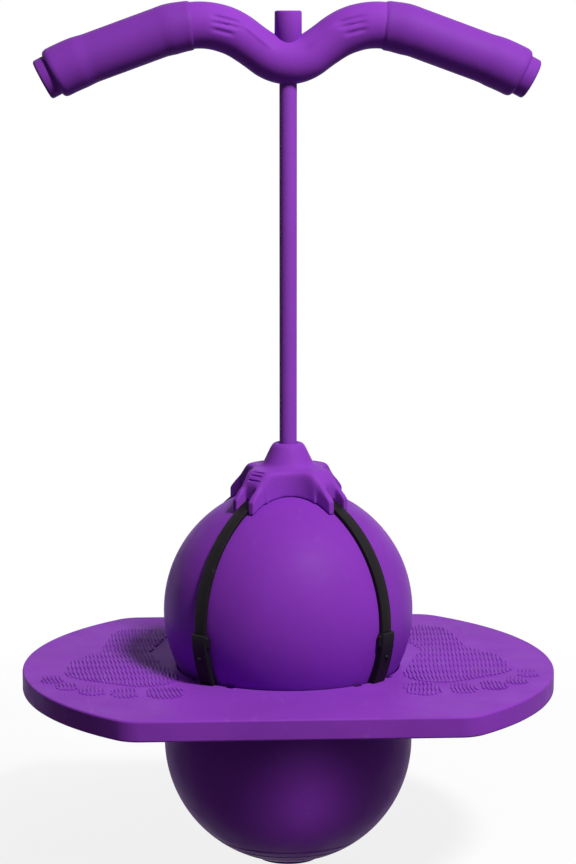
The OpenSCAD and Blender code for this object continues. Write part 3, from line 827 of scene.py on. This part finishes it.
class HOPPER_OT_crown(bpy.types.Operator):
    """Rounds the crown that holds the straps and the foot of the rope"""

    bl_idname = "hopper.crown"
    bl_label = "Crown"

    def execute(self, context):
        crown = softened("crown", "crown_cap", "moulded_plastic", voxel=0.0008, rounds=6)
        shoulder = crown.vertex_groups.new(name="shoulder")
        for v in crown.data.vertices:
            share = eased(SHOULDER_BY_RADIUS, math.hypot(v.co.x, v.co.y))
            shoulder.add([v.index], share * eased(SHOULDER_BY_HEIGHT, v.co.z), "REPLACE")
        flow = crown.modifiers.new("flow", "SMOOTH")
        flow.factor = 0.5
        flow.iterations = 130
        flow.vertex_group = shoulder.name
        settle(crown)
        crown.vertex_groups.clear()
        grooves = []
        for place in GROOVED_LEGS:
            facing = turn_by(STRAP_TURNS[place], "Z")
            for along in GROOVE_PLACES:
                spot = facing @ Vector((along, GROOVE_ASIDE, 0))
                height = height_near(crown.data, spot) + GROOVE_LIFT
                lying = Matrix.Translation((along, GROOVE_ASIDE, height)) @ turn_by(90, "X")
                grooves.append(placed(facing @ lying, lathe(GROOVE_SECTION, steps=16)))
        cut(crown, gather(grooves))
        crown.data.set_sharp_from_angle(angle=math.radians(40))
        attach(crown, "deck")
        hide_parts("crown")
        return {"FINISHED"}


# Straps, hooks and rivets

# Angle from the lobe's top where a strap starts, and the angle that it spans
STRAP_START = 21
STRAP_SPAN = 88
# Gap between a strap and the ball
STRAP_GAP = 0.0004
# Bar on a strap's upper end: its radius, and its half section, as radius and length
BAR_RADIUS = 0.003
BAR_SECTION = (
    (0, -0.008), (0.0026, -0.008), (BAR_RADIUS, -0.0076), (BAR_RADIUS, 0.0076), (0.0026, 0.008), (0, 0.008),
)
# Rivet: its half section, as radius and height over the ball's skin, and its angle from the lobe's top
RIVET_SECTION = (
    (0, 0.0005), (0.0010, 0.0005), (0.0012, 0.0007), (0.0012, 0.0056), (0.0018, 0.0056), (0.0019, 0.0058),
    (0.0018, 0.0061), (0.0014, 0.0064), (0.0008, 0.00658), (0, 0.00662),
)
RIVET_ANGLE = 103


class HOPPER_OT_straps(bpy.types.Operator):
    """Bends the four rubber straps round the upper lobe"""

    bl_idname = "hopper.straps"
    bl_label = "Straps"

    def execute(self, context):
        s = sizes()
        centre = Vector((0, 0, s.upper_height))
        inner = s.lobe_radius + STRAP_GAP
        for place, turn in STRAP_TURNS.items():
            out = Vector((math.cos(math.radians(turn)), math.sin(math.radians(turn)), 0))
            across = UP.cross(out)
            band = bmesh.new()
            bmesh.ops.create_grid(band, x_segments=1, y_segments=1, size=0.5)
            bmesh.ops.scale(band, vec=(s.strap_thickness, s.strap_width, 1), verts=band.verts)
            bmesh.ops.bevel(
                band, geom=band.verts[:], offset=0.0008, offset_type="OFFSET", segments=3, profile=0.5,
                affect="VERTICES", material=-1,
            )
            stand = Matrix((UP, across, -out)).transposed().to_4x4()
            stand.translation = centre + UP * (inner + s.strap_thickness / 2)
            placed(stand, band)
            start = Matrix.Rotation(math.radians(STRAP_START), 3, across)
            bmesh.ops.rotate(band, cent=centre, matrix=start, verts=band.verts)
            bmesh.ops.spin(
                band, geom=band.verts[:] + band.edges[:] + band.faces[:], cent=centre, axis=across,
                angle=math.radians(STRAP_SPAN), steps=80,
            )
            lying = Matrix.Translation((0, 0, inner + BAR_RADIUS)) @ turn_by(90, "X")
            bar = placed(on_lobe(turn, STRAP_START) @ lying, lathe(BAR_SECTION, steps=32))
            strap = make_piece("strap_band_" + place, gather([band, bar]), "strap_rubber", sharp=45)
            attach(strap, "deck")
            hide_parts("strap_" + place)
        return {"FINISHED"}


class HOPPER_OT_hooks(bpy.types.Operator):
    """Rounds the four hooks under the straps and turns their rivets"""

    bl_idname = "hopper.hooks"
    bl_label = "Hooks and rivets"

    def execute(self, context):
        for place in STRAP_TURNS:
            hook = softened("hook_" + place, "hook_clip_" + place, "hook_plastic", voxel=0.0005, rounds=4)
            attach(hook, "deck")
            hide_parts("hook_" + place)
        section = [(radius, sizes().lobe_radius + z) for radius, z in RIVET_SECTION]
        places = [on_lobe(turn, RIVET_ANGLE) for turn in STRAP_TURNS.values()]
        shapes = [placed(at, lathe(section, steps=32)) for at in places]
        rivets = make_piece("strap_rivet_heads", gather(shapes), "steel", sharp=40)
        rivets.data.materials[0] = finishes("blackened_steel")
        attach(rivets, "deck")
        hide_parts("strap_rivets")
        return {"FINISHED"}


# Rope and cap

# Lengths of the rope: name, heights of its ends, bodies below and above, the heights between which it goes
# from one to the other, and the construction pieces that it stands for
ROPE_LENGTHS = (
    ("rope_foot", 0.2924, 0.363, "deck", "rope_lower", 0.331, 0.359, ("rope_root",)),
    ("rope_bend", 0.363, 0.399, "rope_lower", "rope_middle", 0.367, 0.395, ("rope_lower",)),
    ("rope_run", 0.399, 0.6467, "rope_middle", "rope_top", 0.42, 0.596, ("rope_middle", "rope_upper")),
)
# Distance between the rings of points along the rope
ROPE_PITCH = 0.0035
# Wall and lid of the rope's cap, and the rounding of its lower edge
CAP_WALL = 0.0017
CAP_LID = 0.004
CAP_ROUNDING = 0.0003
# Upper edge of the cap, as inset and drop from its top, and the dimple in its top, as radius and depth
CAP_EDGE = ((0.0001, 0.0014), (0.0004, 0.0006), (0.0011, 0.0001), (0.0022, 0))
CAP_DIMPLE = ((0.0042, 0), (0.0034, 0.0003), (0.0030, 0.0010), (0, 0.0012))


class HOPPER_OT_rope(bpy.types.Operator):
    """Runs the elastic rope up from the crown in three lengths"""

    bl_idname = "hopper.rope"
    bl_label = "Rope"

    def execute(self, context):
        r = sizes().rope_radius
        for name, low, high, below, above, start, end, nodes in ROPE_LENGTHS:
            count = max(2, round((high - low) / ROPE_PITCH))
            side = [(r, low + (high - low) * i / count) for i in range(count + 1)]
            profile = [(0, low)] + side + [(0, high)]
            rope = make_piece(name, lathe(profile, steps=48), "rope_elastic", sharp=60)
            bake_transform(rope)
            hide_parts(*nodes)
        return {"FINISHED"}


class HOPPER_OT_cap(bpy.types.Operator):
    """Turns the cap that holds the rope over the handlebar"""

    bl_idname = "hopper.cap"
    bl_label = "Rope cap"

    def execute(self, context):
        r = sizes().cap_radius
        low, high = (corner.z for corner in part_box("rope_cap"))
        bore, roof = r - CAP_WALL, high - CAP_LID
        profile = [(bore, low), (r - CAP_ROUNDING, low), (r, low + CAP_ROUNDING)]
        profile += [(r - inset, high - drop) for inset, drop in CAP_EDGE]
        profile += [(radius, high - depth) for radius, depth in CAP_DIMPLE]
        profile += [(0, roof), (bore, roof), (bore, low)]
        cap = make_piece("rope_cap_top", lathe(profile, steps=72), "moulded_plastic", sharp=50)
        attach(cap, "rope_top")
        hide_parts("rope_cap")
        return {"FINISHED"}


class HOPPER_OT_fittings(bpy.types.Operator):
    """Gives the steel washers, the ferrule and the crimp ring their finish"""

    bl_idname = "hopper.fittings"
    bl_label = "Steel fittings"

    def execute(self, context):
        for node in ("rope_ferrule", "rope_washer", "rope_crimp", "cap_washer"):
            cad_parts[node].material_slots[0].material = finishes("steel")
        return {"FINISHED"}


# Handle

# Lowest point of the handle's centre line, and its path to the right: (bend radius, turn) or (length, 0)
DIP = Vector((0, 0, 0.6135))
DIP_PATH = ((0.0315, 35),)
SIDE_PATH = ((0.0188, 0), (0.0565, -41))
OUTER_PATH = ((0.110, -14), (0.055, 0), (0.200, -8))
# Swelling of the handlebar: length along its path, and change of radius
BAR_SWELL = ((0, 0.0007), (0.028, -0.0003), (0.058, 0.0008), (0.0785, 0.0009), (0.084, 0), (0.2, 0))
# Marks on a shoulder's front: ends (x, z) on the right side, depth and half width; the last one is raised
SHOULDER_MARKS = (
    ((0.0588, 0.6474), (0.0335, 0.6412), 0.0015, 0.0013),
    ((0.0590, 0.6429), (0.0350, 0.6380), 0.0016, 0.0013),
    ((0.0590, 0.6378), (0.0395, 0.6330), 0.0013, 0.0013),
    ((0.0360, 0.6425), (0.0120, 0.6225), -0.0009, 0.0014),
)
# Form of a grip sleeve: length from its inner end, or back from its outer end, and change of radius
GRIP_INNER = (
    (0, -0.0010), (0.0010, -0.0005), (0.0025, -0.0002), (0.016, 0.0004), (0.026, -0.0001), (0.078, -0.0001),
    (0.090, 0.0007),
)
GRIP_OUTER = ((0.004, 0.0007), (0.0016, 0.0001), (0.0005, -0.0007), (0, -0.0017))
# Stem of an end plug, as radius and height over the grip's end, and its head, as inset and height
STOPPER_STEM = ((0, -0.012), (0.0115, -0.012), (0.0125, -0.011), (0.0125, 0.0001))
STOPPER_HEAD = (
    (0, 0.0001), (0, 0.0072), (0.0002, 0.0079), (0.0008, 0.0086), (0.0016, 0.009), (0.0026, 0.0091),
    (0.0032, 0.0088), (0.0038, 0.0085),
)


class HOPPER_OT_handlebar(bpy.types.Operator):
    """Bends the gull-wing handlebar and presses the finger grooves into its shoulders"""

    bl_idname = "hopper.handlebar"
    bl_label = "Handlebar"

    def execute(self, context):
        swell = [(along, sizes().bar_radius + more) for along, more in BAR_SWELL]
        fade = 0.25
        half = run_bar(DIP, 0, DIP_PATH + SIDE_PATH + OUTER_PATH, lambda along: eased(swell, along))
        for v in half.verts:
            if v.co.y > 0:
                continue
            for (ax, az), (bx, bz), depth, wide in SHOULDER_MARKS:
                run = Vector((bx - ax, bz - az))
                t = ((v.co.x - ax) * run.x + (v.co.z - az) * run.y) / run.length_squared
                off = math.hypot(v.co.x - ax - t * run.x, v.co.z - az - t * run.y)
                ends = max(0.0, min(1.0, t / fade, (1 - t) / fade))
                v.co.y += depth * ends * math.exp(-((off / wide) ** 2))
        middle = [f for f in half.faces if all(abs(v.co.x) < TINY for v in f.verts)]
        bmesh.ops.delete(half, geom=middle, context="FACES_ONLY")
        piece = make_piece("handlebar_tube", gather([mirrored(half), half]), "moulded_plastic", sharp=60)
        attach(piece, "handle")
        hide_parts("handlebar")
        return {"FINISHED"}


class HOPPER_OT_grips(bpy.types.Operator):
    """Slides the soft sleeves and the end plugs onto the handlebar"""

    bl_idname = "hopper.grips"
    bl_label = "Grips and end plugs"

    def execute(self, context):
        s = sizes()
        at, angle = walk(DIP, 0, DIP_PATH + SIDE_PATH)
        span = sum(bend * abs(math.radians(turn)) if turn else bend for bend, turn in OUTER_PATH)
        form = [(along, s.grip_radius + more) for along, more in GRIP_INNER]
        form += [(span - back, s.grip_radius + more) for back, more in GRIP_OUTER]
        sleeve = run_bar(at, angle, OUTER_PATH, lambda along: eased(form, along), pitch=0.0011)
        tip, tip_angle = walk(at, angle, OUTER_PATH)
        profile = list(STOPPER_STEM) + [(s.plug_radius - inset, z) for inset, z in STOPPER_HEAD]
        plug = lathe(profile + [(0, STOPPER_HEAD[-1][1])], steps=72)
        placed(Matrix.Translation(tip) @ Matrix.Rotation(math.pi / 2 - tip_angle, 4, "Y"), plug)
        for side, grip, end in (("left", mirrored(sleeve), mirrored(plug)), ("right", sleeve, plug)):
            hold = make_piece(side + "_grip_sleeve", grip, "grip_rubber", sharp=50)
            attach(hold, "handle")
            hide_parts(side + "_grip")
            stop = make_piece(side + "_end_stopper", end, "grip_rubber", sharp=50)
            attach(stop, "handle")
            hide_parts(side + "_end_plug")
        return {"FINISHED"}


# Stage



def add_seen(nodes, links):
    """Light path factor: camera, glossy and transmission rays"""
    path = nodes.new("ShaderNodeLightPath")
    seen = path.outputs["Is Camera Ray"]
    for kind in ("Is Glossy Ray", "Is Transmission Ray"):
        either = nodes.new("ShaderNodeMath")
        either.operation = "MAXIMUM"
        links.new(seen, either.inputs[0])
        links.new(path.outputs[kind], either.inputs[1])
        seen = either.outputs[0]
    return seen


def mix_shaders(nodes, links, output, factor, first, second):
    blend = nodes.new("ShaderNodeMixShader")
    links.new(factor, blend.inputs[0])
    links.new(first, blend.inputs[1])
    links.new(second, blend.inputs[2])
    out = nodes.new(output)
    links.new(blend.outputs[0], out.inputs["Surface"])


def floor_paint():
    """Paint that looks white, keeps the object's shadow and throws little light back"""
    paint = bpy.data.materials.new("pale_floor")
    paint.use_nodes = True
    nodes, links = paint.node_tree.nodes, paint.node_tree.links
    nodes.clear()
    seen = add_seen(nodes, links)
    pale = nodes.new("ShaderNodeMix")
    pale.data_type = "RGBA"
    links.new(seen, pale.inputs[MIX_FACTOR])
    pale.inputs[MIX_FIRST].default_value = (*colours().floor, 1)
    pale.inputs[MIX_SECOND].default_value = WHITE
    matte = nodes.new("ShaderNodeBsdfDiffuse")
    links.new(pale.outputs[MIX_RESULT], matte.inputs["Color"])
    glow = nodes.new("ShaderNodeEmission")
    glow.inputs["Color"].default_value = WHITE
    glow.inputs["Strength"].default_value = 1.0
    place = nodes.new("ShaderNodeTexCoord")
    away = nodes.new("ShaderNodeVectorMath")
    away.operation = "LENGTH"
    links.new(place.outputs["Object"], away.inputs[0])
    # The floor's own white grows away from the object and hides the end of its shadow
    grown = add_range(nodes, links, away.outputs["Value"], low=0.85, high=1.0, start=0.2, end=0.8)
    share = nodes.new("ShaderNodeMath")
    share.operation = "MULTIPLY"
    links.new(seen, share.inputs[0])
    links.new(grown, share.inputs[1])
    output = "ShaderNodeOutputMaterial"
    mix_shaders(nodes, links, output, share.outputs[0], matte.outputs[0], glow.outputs[0])
    return paint


def add_floor():
    bm = bmesh.new()
    bmesh.ops.create_grid(bm, x_segments=1, y_segments=1, size=12)
    floor = add_object("floor", to_mesh("floor", bm))
    floor.data.materials.append(floor_paint())


def add_background(nodes, tint, strength):
    background = nodes.new("ShaderNodeBackground")
    background.inputs["Color"].default_value = tint
    background.inputs["Strength"].default_value = strength
    return background.outputs[0]


def add_world(scene):
    """A world that looks white and lights the object only a little"""
    world = bpy.data.worlds.new("studio")
    scene.world = world
    world.use_nodes = True
    nodes, links = world.node_tree.nodes, world.node_tree.links
    nodes.clear()
    dim = add_background(nodes, tint=(0.95, 0.93, 1, 1), strength=0.06)
    white = add_background(nodes, tint=WHITE, strength=1.0)
    mix_shaders(nodes, links, "ShaderNodeOutputWorld", add_seen(nodes, links), dim, white)


def add_lamp(name, at, aim, power, size, beam=None, gloss=True):
    """A round soft lamp, or a narrow spot lamp where a beam angle is given"""
    lamp = bpy.data.lights.new(name, "SPOT" if beam else "AREA")
    lamp.energy = power
    if beam:
        lamp.shadow_soft_size = size
        lamp.spot_size = math.radians(beam)
        lamp.spot_blend = 0.5
    else:
        lamp.shape = "DISK"
        lamp.size = size
    holder = add_object(name, lamp)
    holder.location = at
    holder.rotation_euler = (Vector(aim) - Vector(at)).to_track_quat("-Z", "Y").to_euler()
    holder.visible_glossy = gloss


def add_camera(scene):
    lens = bpy.data.cameras.new("camera")
    lens.lens = 113
    lens.sensor_width = 36
    camera = add_object("camera", lens)
    camera.location = (-0.114, -2.037, 0.650)
    down, aside = 8.81, -3.2
    camera.rotation_euler = (math.radians(90 - down), 0, math.radians(aside))
    scene.camera = camera


class HOPPER_OT_stage(bpy.types.Operator):
    """Sets up the pale floor, the lamps and the camera"""

    bl_idname = "hopper.stage"
    bl_label = "Stage"

    def execute(self, context):
        scene = context.scene
        scene.view_settings.view_transform = "Standard"
        add_floor()
        add_world(scene)
        add_lamp("key_lamp", at=(0.96, -1.37, 2.24), aim=(0, 0, 0.25), power=70, size=0.5)
        add_lamp(
            "low_lamp", at=(0.288, -2.049, 0.330), aim=(0.009, -0.093, 0.064), power=56, size=0.03, beam=1.8
        )
        add_lamp("back_lamp", at=(-0.45, 2.05, 0.40), aim=(0, 0, 0.28), power=16, size=0.6, gloss=False)
        add_camera(scene)
        return {"FINISHED"}


class HOPPER_PT_panel(bpy.types.Panel):
    """Sizes, colours and pieces of the hopper ball"""

    bl_idname = "HOPPER_PT_panel"
    bl_label = "Hopper ball"
    bl_space_type = "VIEW_3D"
    bl_region_type = "UI"
    bl_category = "Hopper"

    def draw(self, context):
        layout = self.layout
        for group in (context.scene.hopper_sizes, context.scene.hopper_colours):
            column = layout.column(align=True)
            for name in group.__annotations__:
                column.prop(group, name)
        for operator in OPERATORS:
            layout.operator(operator.bl_idname)


OPERATORS = (
    HOPPER_OT_ball, HOPPER_OT_valve_plug, HOPPER_OT_deck, HOPPER_OT_footprints, HOPPER_OT_crown,
    HOPPER_OT_straps, HOPPER_OT_hooks, HOPPER_OT_rope, HOPPER_OT_handlebar, HOPPER_OT_grips, HOPPER_OT_cap,
    HOPPER_OT_fittings, HOPPER_OT_stage,
)
CLASSES = (HopperSizes, HopperColours) + OPERATORS + (HOPPER_PT_panel,)


def register():
    for cls in CLASSES:
        bpy.utils.register_class(cls)
    bpy.types.Scene.hopper_sizes = PointerProperty(type=HopperSizes)
    bpy.types.Scene.hopper_colours = PointerProperty(type=HopperColours)


def unregister():
    del bpy.types.Scene.hopper_colours
    del bpy.types.Scene.hopper_sizes
    for cls in reversed(CLASSES):
        bpy.utils.unregister_class(cls)


def main():
    register()
    bpy.ops.hopper.ball()
    bpy.ops.hopper.valve_plug()
    bpy.ops.hopper.deck()
    bpy.ops.hopper.footprints()
    bpy.ops.hopper.crown()
    bpy.ops.hopper.straps()
    bpy.ops.hopper.hooks()
    bpy.ops.hopper.rope()
    bpy.ops.hopper.handlebar()
    bpy.ops.hopper.grips()
    bpy.ops.hopper.cap()
    bpy.ops.hopper.fittings()
    bpy.ops.hopper.stage()


if __name__ == "__main__":
    main()
